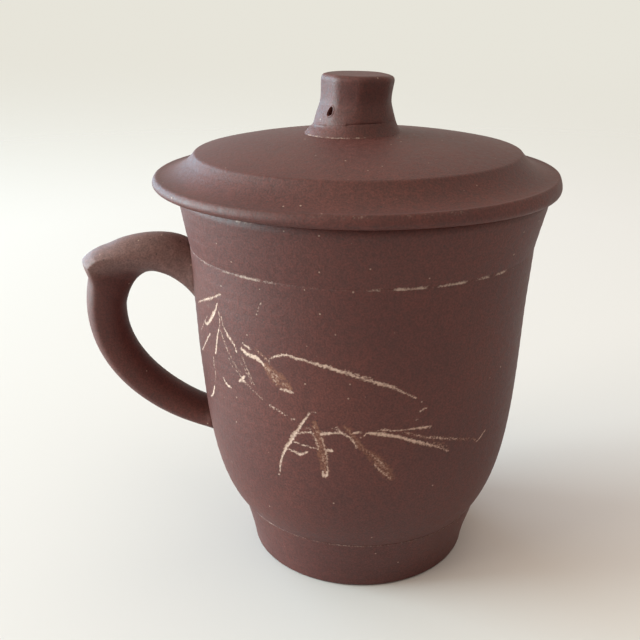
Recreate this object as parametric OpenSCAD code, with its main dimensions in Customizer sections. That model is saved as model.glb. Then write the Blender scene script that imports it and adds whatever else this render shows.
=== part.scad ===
// Lidded tea mug of unglazed brown clay, with an ear-shaped handle and a loose lid.
// Millimetres, +Z up. The origin is on the cup's axis, on the face that the mug stands on.
// The handle points along -X, and -Y is the front.

/* [Foot] */
// Diameter of the foot at the table
foot_d = 59.6; // [54:0.2:64]
// Diameter of the foot at its step line
foot_top_d = 66.2; // [62:0.2:72]
// Height of the step line above the table
foot_h = 15; // [13:0.5:20]
// How late the foot widens on its way up, where 1 is a straight cone
foot_sweep = 1.3; // [1:0.1:2]
// Width of the ring-shaped face that the mug stands on
foot_land = 5.5; // [4.5:0.1:7]
// Rounding of the foot's lower edge
foot_edge = 1; // [0.4:0.1:1.6]
// Depth of the recess under the cup
foot_recess = 4.6; // [4.2:0.1:5.6]
// How far the foot stands proud of the wall at the step line
foot_step = 0.3; // [0.1:0.1:0.8]

/* [Floor] */
// Thickness of the floor
floor_t = 5.5; // [4:0.1:7]
// Width of the ledge in the foot that the floor rests on
floor_ledge = 2.8; // [2:0.1:3.4]
// Slip film left round the floor where it is let into the foot
floor_slip = 0.1; // [0.05:0.05:0.3]

/* [Body] */
// Height of the mouth above the table
cup_h = 101.3; // [92:0.5:115]
// Thickness of the wall
wall_t = 3.8; // [3:0.1:5]
// Diameter at the ring line, where the neck starts
ring_d = 87.6; // [82:0.2:94]
// Height over which the belly turns up from the foot
belly_turn = 12.6; // [8:0.2:20]
// How far the upper wall leans out on its way to the ring line
wall_lean = 2.4; // [0.5:0.1:4]
// Height over which the upper wall leans out
wall_lean_h = 23.7; // [15:0.1:35]

/* [Neck] */
// Height of the neck, from the ring line to the mouth
neck_h = 14.3; // [12:0.5:20]
// How far the wall stands proud of the neck at the ring line
ring_step = 0.4; // [0.1:0.1:0.8]
// Outer diameter of the mouth
mouth_d = 94.4; // [90:0.2:98]
// Thickness of the mouth's rounded edge
mouth_t = 3.4; // [2.6:0.1:4.4]

/* [Handle] */
// Distance from the ring line's radius to the outside of the handle
handle_reach = 29; // [24:0.1:36]
// Height of the handle's top above the ring line
handle_rise = 1.4; // [0.5:0.1:3]
// Distance from the ring line down to the underside of the lower root
handle_span = 53.8; // [48:0.5:60]
// Thickness of the handle, seen from the side
handle_t = 10.2; // [8:0.1:13]
// Width of the handle, seen from its outside
handle_w = 14; // [11:0.1:17]
// Height of the upper root on the wall
root_top_h = 15; // [12:0.1:18]
// Height of the lower root on the wall
root_low_h = 9; // [7:0.1:12]
// Drop from the handle's top to the tip of the thumb spur
spur_drop = 8; // [6:0.1:10]
// Height of the spur's blunt nose
spur_nose = 4.6; // [3.4:0.1:7]
// How far the handle is set back below the spur
spur_bite = 1.8; // [0.6:0.1:2.6]
// Slip film between the handle's roots and the wall
root_slip = 0.05; // [0.03:0.01:0.2]

/* [Lid] */
// Diameter of the lid
lid_d = 101; // [98:0.2:108]
// Thickness of the lid's rim
rim_t = 3.1; // [2.6:0.1:4.5]
// Rounding of the rim's lower edge
rim_low_edge = 1.4; // [0.6:0.1:1.6]
// Rounding of the rim's upper edge
rim_top_edge = 0.7; // [0.3:0.1:1.2]
// Diameter of the dome at its crisp edge
dome_d = 80; // [74:0.2:86]
// Rise of the cove from the rim to the dome's edge
cove_rise = 5; // [3.5:0.1:7]
// Rise of the dome from its edge to the knob
dome_rise = 4.3; // [2:0.1:6]
// Gap between the lid and the mouth that it rests on
lid_seat_gap = 0.2; // [0.1:0.05:0.5]

/* [Locating ring] */
// Depth of the ring under the lid
ring_depth = 7.5; // [5:0.1:10]
// Thickness of the ring
ring_t = 3.6; // [2.6:0.1:5]
// Chamfer on the ring's lower edges
ring_chamfer = 0.8; // [0.4:0.1:1.2]
// Play of the ring in the mouth, on each side when centred
ring_play = 1.7; // [1:0.1:2.5]
// Gap left on the handle's side, where the lid lies off centre
ring_side_gap = 0.6; // [0.4:0.1:1]

/* [Knob] */
// Diameter of the collar where it meets the dome
collar_d = 22.4; // [20:0.2:26]
// Height of the collar
collar_h = 3; // [2:0.1:4]
// Diameter of the knob at its lower end
knob_base_d = 20.4; // [19.4:0.2:22]
// Diameter of the knob at its waist
knob_waist_d = 17.4; // [15:0.2:19]
// Diameter of the knob near its top
knob_top_d = 18; // [16:0.2:22]
// Height of the knob above its collar
knob_h = 11.1; // [9:0.1:14]
// Rounding of the knob's top edge
knob_edge = 2.4; // [1.2:0.1:3]

/* [Vent] */
// Diameter of the hole pierced through the knob
vent_d = 1.6; // [1:0.1:2.4]
// Height of the hole's mouth above the collar
vent_rise = 2.7; // [2:0.1:4]
// Slope of the hole, up from level
vent_slope = 45; // [35:1:60]
// Direction of the hole's mouth, from the front towards the handle
vent_turn = 43; // [0:1:180]

/* [Hidden] */
clay = "#5c413b";
$fn = 96;

// Steps along a long curve, and along a small rounding
curve_steps = 24;
edge_steps = 6;
// How far a cutting shape runs past what it cuts
overrun = 2;

// Radii and heights of the cup, worked out from the sizes above
foot_r = foot_d / 2;
foot_top_r = foot_top_d / 2;
foot_bore_r = foot_r - foot_land;
floor_r = foot_bore_r + floor_ledge;
floor_top = foot_recess + floor_t;
wall_foot_r = foot_top_r - foot_step;
ring_r = ring_d / 2;
ring_z = cup_h - neck_h;
mouth_r = mouth_d / 2;
mouth_round = mouth_t / 2;

// Points of a cubic curve from p0 to p3, pulled towards p1 and p2
function curve(p0, p1, p2, p3, steps = curve_steps) = [
  for (i = [0:steps])
    let (t = i / steps, s = 1 - t)
      s * s * s * p0 + 3 * s * s * t * p1 + 3 * s * t * t * p2 + t * t * t * p3
];

// Points of an arc round a centre, from one angle to another
function arc(centre, r, from, to, steps = edge_steps) = [
  for (i = [0:steps])
    let (a = from + (to - from) * i / steps)
      centre + r * [cos(a), sin(a)]
];

// The same points in the opposite order
function backwards(points) = [for (i = [len(points) - 1:-1:0]) points[i]];

// Radius of a turned outline at a given height
function radius_at(points, z) = lookup(z, [for (p = points) [p[1], p[0]]]);

// Outside of the foot: it widens from the table to the step line
foot_line = [
  for (i = [0:curve_steps])
    let (z = foot_edge + (foot_h - foot_edge) * i / curve_steps)
      [foot_r + (foot_top_r - foot_r) * pow(z / foot_h, foot_sweep), z]
];

// Outside of the wall: a low belly that turns into a long, nearly straight side
wall_line = curve(
  [wall_foot_r, foot_h],
  [ring_r, foot_h + belly_turn],
  [ring_r - wall_lean, ring_z - wall_lean_h],
  [ring_r, ring_z]
);
wall_inside = [for (p = wall_line) p - [wall_t, 0]];

// Side of the neck, inside or outside: it leaves the ring line steeply and flares to the mouth
mouth_z = cup_h - mouth_round;
neck_rise = mouth_z - ring_z;
function neck_side(low_r, high_r) = curve(
  [low_r, ring_z],
  [low_r + (high_r - low_r) * 0.25, ring_z + neck_rise * 0.35],
  [high_r - (high_r - low_r) * 0.3, mouth_z - neck_rise * 0.25],
  [high_r, mouth_z]
);
neck_line = neck_side(ring_r - ring_step, mouth_r);
neck_inside = neck_side(ring_r - wall_t, mouth_r - mouth_t);
mouth_arc = arc([mouth_r - mouth_round, mouth_z], mouth_round, 0, 180, 2 * edge_steps);

// Handle outlines in the plane of its side view: distance from the cup's axis, and height
arm_r = ring_r + handle_reach;
arm_inside_r = arm_r - handle_t;
handle_top = ring_z + handle_rise;
handle_under = handle_top - handle_t;
handle_low = ring_z - handle_span;
spur_z = handle_top - spur_drop;
spur_top = [arm_r - spur_bite * 0.4, spur_z + spur_nose * 0.35];
spur_low = [arm_r - spur_bite, spur_z - spur_nose * 0.65];
root_top_z = handle_top - handle_rise * 1.2;
root_under_z = root_top_z - root_top_h;
root_low_top_z = handle_low + root_low_h;
arm_turn_z = handle_under - handle_t;
low_run = arm_turn_z - root_low_top_z;
// Steps along the top, round the spur's nose and down the arm, and sides of the section
top_steps = 14;
nose_steps = 4;
arm_steps = 20;
handle_sides = 20;
// Squareness of the handle's oval section, where 2 is an ellipse
handle_squareness = 2.2;

// Outside of the handle: over the top, round the spur's nose and down to the lower root
handle_outside = concat(
  curve(
    [ring_r, root_top_z],
    [ring_r + handle_reach * 0.22, handle_top + handle_rise],
    [ring_r + handle_reach * 0.61, handle_top + handle_rise * 0.1],
    spur_top,
    top_steps
  ),
  [
    for (i = [1:nose_steps - 1])
      let (t = i / nose_steps)
        spur_top + (spur_low - spur_top) * t + [spur_bite * 0.6 * sin(180 * pow(t, 0.7)), 0]
  ],
  curve(
    spur_low,
    [arm_r + handle_t * 0.38, spur_low[1] - low_run * 0.73],
    [arm_r - handle_reach * 0.31, handle_low + root_low_h * 0.47],
    [radius_at(wall_line, handle_low), handle_low],
    arm_steps
  )
);

// Inside of the handle's loop, paired point by point with its outside
handle_inside = concat(
  curve(
    [ring_r, root_under_z],
    [ring_r + handle_reach * 0.28, handle_under + handle_t * 0.16],
    [arm_inside_r - handle_t * 0.21, handle_under + handle_t * 0.28],
    [arm_inside_r, arm_turn_z],
    top_steps + nose_steps
  ),
  [
    for (p = curve(
      [arm_inside_r, arm_turn_z],
      [arm_inside_r + handle_t * 0.02, arm_turn_z - low_run * 0.46],
      [arm_inside_r - handle_reach * 0.35, root_low_top_z + root_low_h * 0.48],
      [radius_at(wall_line, root_low_top_z), root_low_top_z],
      arm_steps
    )) if (p != [arm_inside_r, arm_turn_z]) p
  ]
);

// Heights and radii of the lid
lid_r = lid_d / 2;
lid_z = cup_h + lid_seat_gap;
lid_off = ring_play - ring_side_gap;
rim_top = lid_z + rim_t;
dome_r = dome_d / 2;
dome_edge_z = rim_top + cove_rise;
dome_top = dome_edge_z + dome_rise;
cove_outer_r = lid_r - rim_top_edge;
cove_w = cove_outer_r - dome_r;
cove_line = curve(
  [cove_outer_r, rim_top],
  [cove_outer_r - cove_w * 0.45, rim_top + cove_rise * 0.06],
  [dome_r + cove_w * 0.2, dome_edge_z - cove_rise * 0.65],
  [dome_r, dome_edge_z]
);
// Point of the cove where the dome is joined to the flange
seam_step = round(curve_steps * 0.6);
seam_r = cove_line[seam_step][0];
seam_z = cove_line[seam_step][1];

// Radii of the locating ring, which takes its fit from the inside of the mouth
ring_low_z = lid_z - ring_depth;
locating_r = radius_at(concat(wall_inside, neck_inside), ring_low_z) - ring_play;
locating_bore_r = locating_r - ring_t;

// Heights and radii of the knob
collar_r = collar_d / 2;
knob_base_r = knob_base_d / 2;
knob_waist_r = knob_waist_d / 2;
knob_top_r = knob_top_d / 2;
knob_z = dome_top + collar_h;
knob_top = knob_z + knob_h;
knob_edge_z = knob_top - knob_edge;
knob_rise = knob_edge_z - knob_z;
dome_w = dome_r - collar_r;
dome_line = curve(
  [dome_r, dome_edge_z],
  [dome_r - dome_w * 0.35, dome_edge_z + dome_rise * 0.55],
  [collar_r + dome_w * 0.35, dome_top - dome_rise * 0.3],
  [collar_r, dome_top]
);
collar_line = curve(
  [collar_r, dome_top],
  [knob_base_r + (collar_r - knob_base_r) * 0.4, dome_top + collar_h * 0.2],
  [knob_base_r + (collar_r - knob_base_r) * 0.1, knob_z - collar_h * 0.3],
  [knob_base_r, knob_z]
);
knob_line = curve(
  [knob_base_r, knob_z],
  [knob_waist_r - (knob_base_r - knob_waist_r) * 0.2, knob_z + knob_rise * 0.45],
  [knob_waist_r, knob_z + knob_rise * 0.6],
  [knob_top_r, knob_edge_z]
);
vent_mouth_z = knob_z + vent_rise;
vent_cross_z = vent_mouth_z - radius_at(knob_line, vent_mouth_z) * tan(vent_slope);

// Turns an outline of radius and height about the vertical axis
module turned(points) {
  rotate_extrude() polygon(points);
}

// Puts a piece of the lid where the lid lies, off centre towards the handle
module on_lid() {
  translate([-lid_off, 0, 0]) children();
}

// Straight hole from the side of the knob down to the hollow under the lid
module vent_hole() {
  below = (vent_cross_z - seam_z + overrun) / sin(vent_slope);
  above = (collar_r + overrun) / cos(vent_slope);
  translate([0, 0, vent_cross_z])
    rotate([0, 90 - vent_slope, 270 - vent_turn])
      translate([0, 0, -below]) cylinder(d = vent_d, h = below + above);
}

// Closed skin through rings of points, each ring with the same number of points
module skin(rings) {
  n = len(rings[0]);
  last = (len(rings) - 1) * n;
  points = [for (ring = rings) each ring];
  sides = [
    for (k = [0:len(rings) - 2], i = [0:n - 1])
      let (a = k * n + i, b = k * n + (i + 1) % n)
        each [[a, b, a + n], [b, b + n, a + n]]
  ];
  start_cap = [for (i = [1:n - 2]) [0, i + 1, i]];
  end_cap = [for (i = [1:n - 2]) [last, last + i, last + i + 1]];
  polyhedron(points = points, faces = concat(start_cap, sides, end_cap));
}

// Band that the mug stands on, with a ledge inside for the floor
module foot_ring() {
  color(clay) turned(concat(
    [[foot_bore_r, 0]],
    arc([foot_r - foot_edge, foot_edge], foot_edge, 270, 360),
    foot_line,
    [
      [wall_inside[0][0], foot_h],
      [floor_r, floor_top],
      [floor_r, foot_recess],
      [foot_bore_r, foot_recess],
    ]
  ));
}

// Round slab that closes the cup
module floor_disc() {
  color(clay) translate([0, 0, foot_recess])
    cylinder(r = floor_r - floor_slip, h = floor_t);
}

// Belly and side of the cup, from the step line to the ring line
module body_wall() {
  color(clay) turned(concat(wall_line, backwards(wall_inside)));
}

// Flared band above the ring line, with the rounded mouth
module neck_band() {
  color(clay) turned(concat(neck_line, mouth_arc, backwards(neck_inside)));
}

// Ring of points round the handle at one step of its outlines
function handle_ring(k) = [
  for (i = [0:handle_sides - 1])
    let (
      a = 360 * i / handle_sides,
      u = sign(cos(a)) * pow(abs(cos(a)), 2 / handle_squareness),
      v = sign(sin(a)) * pow(abs(sin(a)), 2 / handle_squareness),
      middle = (handle_outside[k] + handle_inside[k]) / 2,
      p = middle + (handle_outside[k] - middle) * u
    )
      [-p[0], v * handle_w / 2, p[1]]
];

// A ring drawn in to its centre by a share, and laid on the outside of the wall
function root_ring(ring, share) = [
  let (centre = (ring[0] + ring[handle_sides / 2]) / 2)
    for (p = ring)
      let (
        y = p[1] * share,
        z = centre[2] + (p[2] - centre[2]) * share,
        r = radius_at(wall_line, z) + root_slip
      )
        [-sqrt(r * r - y * y), y, z]
];

// Ear-shaped handle with a thumb spur, whose roots lie on the wall
module handle() {
  last = len(handle_outside) - 1;
  root_shares = [0.25, 0.5, 0.75, 1];
  color(clay) skin(concat(
    [for (share = root_shares) root_ring(handle_ring(0), share)],
    [for (k = [1:last - 1]) handle_ring(k)],
    [for (share = backwards(root_shares)) root_ring(handle_ring(last), share)]
  ));
}

// Outer ring of the lid, with its rounded rim and the foot of the cove
module lid_flange() {
  cove_foot = [for (i = [1:seam_step]) cove_line[i]];
  color(clay) on_lid() turned(concat(
    [[locating_bore_r, lid_z]],
    arc([lid_r - rim_low_edge, lid_z + rim_low_edge], rim_low_edge, 270, 360),
    arc([lid_r - rim_top_edge, rim_top - rim_top_edge], rim_top_edge, 0, 90),
    cove_foot,
    [[locating_bore_r, seam_z]]
  ));
}

// Raised disc that closes the lid, with a flat seat for the knob
module lid_dome() {
  cove_head = [for (i = [seam_step:curve_steps - 1]) cove_line[i]];
  color(clay) on_lid() difference() {
    turned(concat([[0, seam_z]], cove_head, dome_line, [[0, dome_top]]));
    vent_hole();
  }
}

// Ring under the lid that keeps it on the mouth
module lid_locating_ring() {
  color(clay) on_lid() turned([
    [locating_bore_r + ring_chamfer, ring_low_z],
    [locating_r - ring_chamfer, ring_low_z],
    [locating_r, ring_low_z + ring_chamfer],
    [locating_r, lid_z],
    [locating_bore_r, lid_z],
    [locating_bore_r, ring_low_z + ring_chamfer],
  ]);
}

// Skirt of clay that seats the knob on the dome
module knob_collar() {
  color(clay) on_lid() difference() {
    turned(concat([[0, dome_top]], collar_line, [[0, knob_z]]));
    vent_hole();
  }
}

// Waisted knob with a rounded top and the mouth of the vent hole
module knob() {
  color(clay) on_lid() difference() {
    turned(concat(
      [[0, knob_z]],
      knob_line,
      arc([knob_top_r - knob_edge, knob_edge_z], knob_edge, 0, 90),
      [[0, knob_top]]
    ));
    vent_hole();
  }
}

foot_ring();
floor_disc();
body_wall();
neck_band();
handle();
lid_flange();
lid_dome();
lid_locating_ring();
knob_collar();
knob();
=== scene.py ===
"""Lidded clay tea mug: its finished surfaces, clay, light and camera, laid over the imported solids.

Lengths are worked out in millimetres and go into the meshes in metres. +Z is up, the handle
points to -X and the front of the mug faces -Y. Angles are taken round the axis from +X.
"""

import bpy
import numpy as np
from mathutils import Matrix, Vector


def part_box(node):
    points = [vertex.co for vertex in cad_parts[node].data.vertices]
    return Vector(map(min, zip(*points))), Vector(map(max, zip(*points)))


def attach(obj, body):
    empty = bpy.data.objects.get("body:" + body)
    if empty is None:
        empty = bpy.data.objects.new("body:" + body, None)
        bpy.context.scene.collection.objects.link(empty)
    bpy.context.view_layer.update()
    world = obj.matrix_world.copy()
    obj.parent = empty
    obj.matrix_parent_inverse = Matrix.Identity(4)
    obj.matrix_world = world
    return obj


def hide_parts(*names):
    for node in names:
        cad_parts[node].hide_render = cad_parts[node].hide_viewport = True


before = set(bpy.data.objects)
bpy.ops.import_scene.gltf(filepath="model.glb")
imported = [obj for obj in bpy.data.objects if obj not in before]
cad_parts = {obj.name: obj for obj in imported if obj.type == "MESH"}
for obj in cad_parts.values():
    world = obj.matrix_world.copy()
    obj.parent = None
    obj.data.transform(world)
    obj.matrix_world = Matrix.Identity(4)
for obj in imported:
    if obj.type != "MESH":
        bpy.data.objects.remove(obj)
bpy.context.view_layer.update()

# Foot ring
# A band of thrown clay that carries the cup. It was pared on the wheel to a crisp step under the
# belly, its lower edge was sponged round, and the ring that it stands on was wiped flat.
METRES = 0.001
FRONT = -np.pi / 2


def solid(node):
    """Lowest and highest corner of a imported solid, in millimetres."""
    return np.array(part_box(node)) / METRES


def bend(start, lead, trail, end, count=24):
    """Cubic curve from start to end, pulled towards lead and then trail: the four points are
    weighted by (1-t)^3, 3t(1-t)^2, 3t^2(1-t) and t^3."""
    t = np.linspace(0, 1, count)[:, None]
    s = 1 - t
    return (s**3 * np.array(start) + 3 * s**2 * t * np.array(lead)
            + 3 * s * t**2 * np.array(trail) + t**3 * np.array(end))


def straight(start, end, count=3):
    """Evenly spaced points on a straight line."""
    return np.linspace(start, end, count)


def cut_back(line, at_start, at_end):
    """A line shortened by a length at each end, measured along it."""
    along = np.concatenate(([0], np.cumsum(np.linalg.norm(np.diff(line, axis=0), axis=1))))
    last = along[-1] - at_end
    kept = along[(along > at_start + 0.01) & (along < last - 0.01)]
    kept = np.concatenate(([at_start], kept, [last]))
    return np.stack([np.interp(kept, along, line[:, k]) for k in (0, 1)], 1)


def outline(lines, edges, loop=True):
    """Runs several lines of radius and height into one. At each joint both lines are cut back by
    that joint's edge length, and a quadratic curve bridges the cut as a wet sponge rounds clay."""
    joints = len(lines) if loop else len(lines) - 1
    edge = list(edges[:joints]) + [0] * (len(lines) - joints)
    cut = [cut_back(line, edge[k - 1], edge[k]) for k, line in enumerate(lines)]
    t = np.linspace(0, 1, 8)[1:-1, None]
    run = []
    for k, line in enumerate(cut):
        run.append(line)
        if k < joints:
            after = cut[(k + 1) % len(cut)][0]
            run.append((1 - t)**2 * line[-1] + 2 * t * (1 - t) * lines[k][-1] + t**2 * after)
    return np.concatenate(run)


def all_round(count):
    """Evenly spaced angles round the axis."""
    return np.linspace(-np.pi, np.pi, count, endpoint=False)


def turn_from(start, angle):
    """Turn from one angle to another, between -pi and pi."""
    return (angle - start + np.pi) % (2 * np.pi) - np.pi


def outward(angle):
    """Level direction away from the axis at an angle."""
    return np.stack((np.cos(angle), np.sin(angle), 0 * angle), -1)


def ramp(value, start, length):
    """0 up to the start, 1 from a length further on, and an even climb between them."""
    return np.clip((value - start) / length, 0, 1)


def mound(value, middle, width):
    """Bell curve e^-u^2, where u is the distance from the middle as a share of the width."""
    return np.exp(-((value - middle) / width)**2)


cup_r = solid("body_wall")[1][0]


def hand_sway(angle, height):
    """How far the potter's hands left the cup out of true: slow waves of two and three swells
    round the wall that drift with height, a wall that stands fuller towards the handle up to a
    little below the ring line and towards +X near it, a foot pressed towards +X, and faint ridges
    left by the tool."""
    swell = 0.13 * np.sin(2 * angle + 0.9 + 0.011 * height)
    swell = swell + 0.07 * np.sin(3 * angle - 0.4 - 0.017 * height)
    fuller = np.interp(height, (15, 17, 50, 60, 75, 87), (0, 0.3, 0.3, 0.5, 0.45, -0.05))
    swell = swell + fuller * (0.5 - 0.5 * np.cos(angle))
    swell = swell + 0.1 * (1 + np.cos(angle)) * mound(height, 82, 8)
    swell = swell + (0.25 + 0.3 * np.cos(angle)) * mound(height, 12, 5)
    ridge = 0.5 + 0.5 * np.sin(0.021 * height + 2 * angle)
    return swell + 0.022 * ridge * np.sin(2.1 * height + 1.5 * np.sin(angle))


def turned(line, angle, sway=hand_sway, centre=0.0, tilt=0.0):
    """Turns an outline round the axis: x = R cos a and y = R sin a, where R is the outline's radius
    with the hand's sway added in proportion to it. The height drops by the tilt times R cos a."""
    height = line[:, 1:] + 0 * angle
    radius = line[:, :1] * (1 + sway(angle, height) / cup_r)
    along = radius * np.cos(angle)
    return np.stack((along + centre, radius * np.sin(angle), height - tilt * along), -1)


# The wear mark also carries a painted highlight along the ring line, and the last mark is a painted
# sheen where light falls on the handle
clay_marks = ("wear_and_highlight", "scratch", "rust", "painted_sheen")


def clay_piece(name, grid, loop, marks=None):
    """Mesh of a grid of points, with rows along the outline and columns round it. Neighbouring
    points make quads that face outwards, and the columns close round. The rows close where the
    outline is a loop, and otherwise a fan of triangles closes each end. Marks are named values,
    one for each point, which the clay's finish reads."""
    rows, columns = grid.shape[:2]
    here = np.arange(rows * columns).reshape(rows, columns)
    right = np.roll(here, -1, 1)
    quads = np.stack((here, right, np.roll(right, -1, 0), np.roll(here, -1, 0)), -1)
    faces = (quads if loop else quads[:-1]).reshape(-1, 4).tolist()
    points = grid.reshape(-1, 3)
    if not loop:
        points = np.concatenate((points, grid[:1].mean(1), grid[-1:].mean(1)))
        low, high = np.full(columns, rows * columns), np.full(columns, rows * columns + 1)
        faces += np.stack((right[0], here[0], low), -1).tolist()
        faces += np.stack((here[-1], right[-1], high), -1).tolist()
    mesh = bpy.data.meshes.new(name)
    mesh.from_pydata((points * METRES).tolist(), [], faces)
    mesh.polygons.foreach_set("use_smooth", np.ones(len(mesh.polygons), bool))
    for mark in clay_marks:
        values = (marks or {}).get(mark, np.zeros((rows, columns)))
        flat = values.ravel()
        if not loop:
            flat = np.concatenate((flat, [values[0].mean(), values[-1].mean()]))
        mesh.attributes.new(mark, "FLOAT", "POINT").data.foreach_set("value", flat)
    mesh.update()
    piece = bpy.data.objects.new(name, mesh)
    bpy.context.scene.collection.objects.link(piece)
    return piece


def wire(tree, kind, inputs, **settings):
    """Adds a shader node. Inputs gives each socket a value, or the output that feeds it."""
    made = tree.nodes.new("ShaderNode" + kind)
    for setting, value in settings.items():
        setattr(made, setting, value)
    for socket, value in inputs.items():
        if isinstance(value, bpy.types.NodeSocket):
            tree.links.new(value, made.inputs[socket])
        else:
            made.inputs[socket].default_value = value
    return made


def spread(tree, value, low, high, to_low, to_high):
    """Stretches a value smoothly from one range to another."""
    made = wire(tree, "MapRange", {"Value": value, "From Min": low, "From Max": high,
                                   "To Min": to_low, "To Max": to_high},
                interpolation_type="SMOOTHSTEP")
    return made.outputs["Result"]


def worked(tree, operation, a, b):
    """One step of arithmetic on two values."""
    return wire(tree, "Math", {0: a, 1: b}, operation=operation).outputs[0]


def tinted(tree, share, below, above):
    """Mixes two colours by a share from 0 to 1."""
    made = wire(tree, "Mix", {0: share, 6: below, 7: above}, data_type="RGBA")
    return made.outputs[2]


def cloudy(tree, place, scale, detail):
    """Cloudy value between 0 and 1, with a grain of about 1/scale metres."""
    made = wire(tree, "TexNoise", {"Vector": place, "Scale": scale, "Detail": detail})
    return made.outputs[0]


umber = (0.083, 0.0211, 0.0172, 1)
russet = (0.101, 0.0259, 0.0199, 1)
slate = (0.078, 0.0222, 0.0196, 1)
pale_grit = (0.40, 0.26, 0.20, 1)
dark_grit = (0.035, 0.018, 0.016, 1)
# Pale colour of rubbed edges, also used for a painted highlight along the ring line's lit left side
worn_edge_and_highlight = (0.46, 0.325, 0.265, 1)
bare_scratch = (0.62, 0.43, 0.345, 1)
# Paler grey for a painted sheen where light falls on the handle's top and outer side
painted_sheen_grey = (0.180, 0.094, 0.084, 1)
rust_stain = (0.18, 0.064, 0.036, 1)
# Each grit: cells to a metre, the share of cells without one, its reach in a cell, and its colour
grits = ((300, 0.52, 0.085, pale_grit), (520, 0.86, 0.16, dark_grit))
# Each mark: its name, the colour it shows, and how far the grain breaks it up
broken_marks = (("rust", rust_stain, 0.5), ("wear_and_highlight", worn_edge_and_highlight, 0.25), ("scratch", bare_scratch, 0.28))
clay_ior = 1.47
grain_relief = 0.00008


def clay(name):
    """Fired clay without glaze: clouds of umber, russet and slate, a paler grey painted sheen where
    light falls on the handle, a fine grain that also roughens the surface, pale and dark grits, stains
    of rust, edges rubbed pale with a painted highlight on the ring line's lit side, and scratches that
    bare the lighter clay."""
    material = bpy.data.materials.new(name)
    material.use_nodes = True
    tree = material.node_tree
    finish = tree.nodes["Principled BSDF"]
    place = wire(tree, "TexCoord", {}).outputs["Object"]
    cloud = cloudy(tree, place, 34, 3)
    smoke = cloudy(tree, place, 15, 2)
    fleck = cloudy(tree, place, 620, 3)
    grain = cloudy(tree, place, 2300, 2)
    colour = tinted(tree, spread(tree, cloud, 0.35, 0.68, 0, 1), umber, russet)
    colour = tinted(tree, spread(tree, smoke, 0.45, 0.75, 0, 0.7), colour, slate)
    marks = {mark: wire(tree, "Attribute", {}, attribute_name=mark).outputs["Fac"]
             for mark in clay_marks}
    # Painted sheen: the handle is painted a paler grey where light falls on it
    colour = tinted(tree, marks["painted_sheen"], colour, painted_sheen_grey)
    shade = worked(tree, "MULTIPLY", spread(tree, grain, 0.25, 0.75, 0.72, 1.28),
                   spread(tree, fleck, 0.25, 0.75, 0.86, 1.14))
    colour = wire(tree, "VectorMath", {0: colour, 3: shade}, operation="SCALE").outputs[0]
    for scale, share, reach, grit in grits:
        cell = wire(tree, "TexVoronoi", {"Vector": place, "Scale": scale})
        pick = wire(tree, "SeparateColor", {"Color": cell.outputs["Color"]}).outputs["Red"]
        few = worked(tree, "GREATER_THAN", pick, share)
        dot = spread(tree, cell.outputs["Distance"], reach * 0.5, reach, 0.75, 0)
        colour = tinted(tree, worked(tree, "MULTIPLY", few, dot), colour, grit)
    ragged = spread(tree, cloudy(tree, place, 2000, 3), 0.3, 0.7, -1, 1)
    for mark, shown_colour, broken in broken_marks:
        rough_mark = worked(tree, "ADD", marks[mark], worked(tree, "MULTIPLY", ragged, broken))
        shown = spread(tree, rough_mark, 0.05, 1.05, 0, 1)
        shown = worked(tree, "MULTIPLY", shown, spread(tree, marks[mark], 0, 0.15, 0, 1))
        colour = tinted(tree, shown, colour, shown_colour)
    tree.links.new(colour, finish.inputs["Base Color"])
    rough = worked(tree, "ADD", spread(tree, fleck, 0.25, 0.75, 0.56, 0.64),
                   worked(tree, "MULTIPLY", marks["scratch"], 0.3))
    tree.links.new(rough, finish.inputs["Roughness"])
    finish.inputs["IOR"].default_value = clay_ior
    relief = worked(tree, "ADD", grain, worked(tree, "MULTIPLY", fleck, 1.5))
    bump = wire(tree, "Bump", {"Height": relief, "Strength": 0.6, "Distance": grain_relief})
    tree.links.new(bump.outputs["Normal"], finish.inputs["Normal"])
    return material


def uneven(angle, count, seed):
    """Value between 0 and 1 that wanders round the axis, through a count of seeded steps."""
    knots = np.random.default_rng(seed).random(count)
    turn = (angle + np.pi) / (2 * np.pi) * count
    return np.interp(turn % count, np.arange(count + 1), np.append(knots, knots[0]))


def rubbed(angle, first, last):
    """1 between two angles in degrees from the front, positive towards +X, and 0 elsewhere, with a
    short fade at each end."""
    fade = 2
    turn = np.degrees(turn_from(FRONT, angle))
    return np.clip(1 - np.maximum(first - turn, turn - last) / fade, 0, 1)


foot_clay = clay("foot_clay")
foot_high = solid("foot_ring")[1]
foot_h = foot_high[2]
foot_top_r = foot_high[0]
foot_r = 29.7
foot_sweep = 1.3
foot_land = 5.5
foot_lip = 0.95
foot_step = 0.16
wall_t = 3.8
step_r = foot_top_r - foot_step
wall_foot_r = step_r - wall_t
bore_r = foot_r - foot_land
floor_low, floor_high = solid("floor_disc")
floor_top = floor_high[2]
bore_lap = 0.05
bore_top = floor_top - bore_lap

foot_z = np.linspace(0, foot_h, 34)
foot_side = np.stack((foot_r + (foot_top_r - foot_r) * (foot_z / foot_h)**foot_sweep, foot_z), 1)
foot_line = outline(
    [
        straight((bore_r, 0), (foot_r, 0), 8),
        foot_side,
        straight((foot_top_r, foot_h), (wall_foot_r, foot_h), 6),
        bend((wall_foot_r, foot_h), (wall_foot_r - 1, foot_h - 3.2),
             (bore_r + 3.4, floor_top + 0.3), (bore_r, bore_top), 14),
        straight((bore_r, bore_top), (bore_r, 0), 10),
    ],
    [foot_lip, 0.12, 0.3, 0.05, 0.7],
)
foot_angles = all_round(300)
step_rubs = ((-56, -46), (-13, 9), (100, 118))
step_rub = np.maximum.reduce([rubbed(foot_angles, *part) for part in step_rubs])
at_step = ramp(foot_line[:, 1:], foot_h - 0.45, 0.3) * (foot_line[:, :1] > foot_top_r - 0.7)
step_wear = at_step * np.maximum(0.55 * step_rub * uneven(foot_angles, 110, 3), 0.2)
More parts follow.
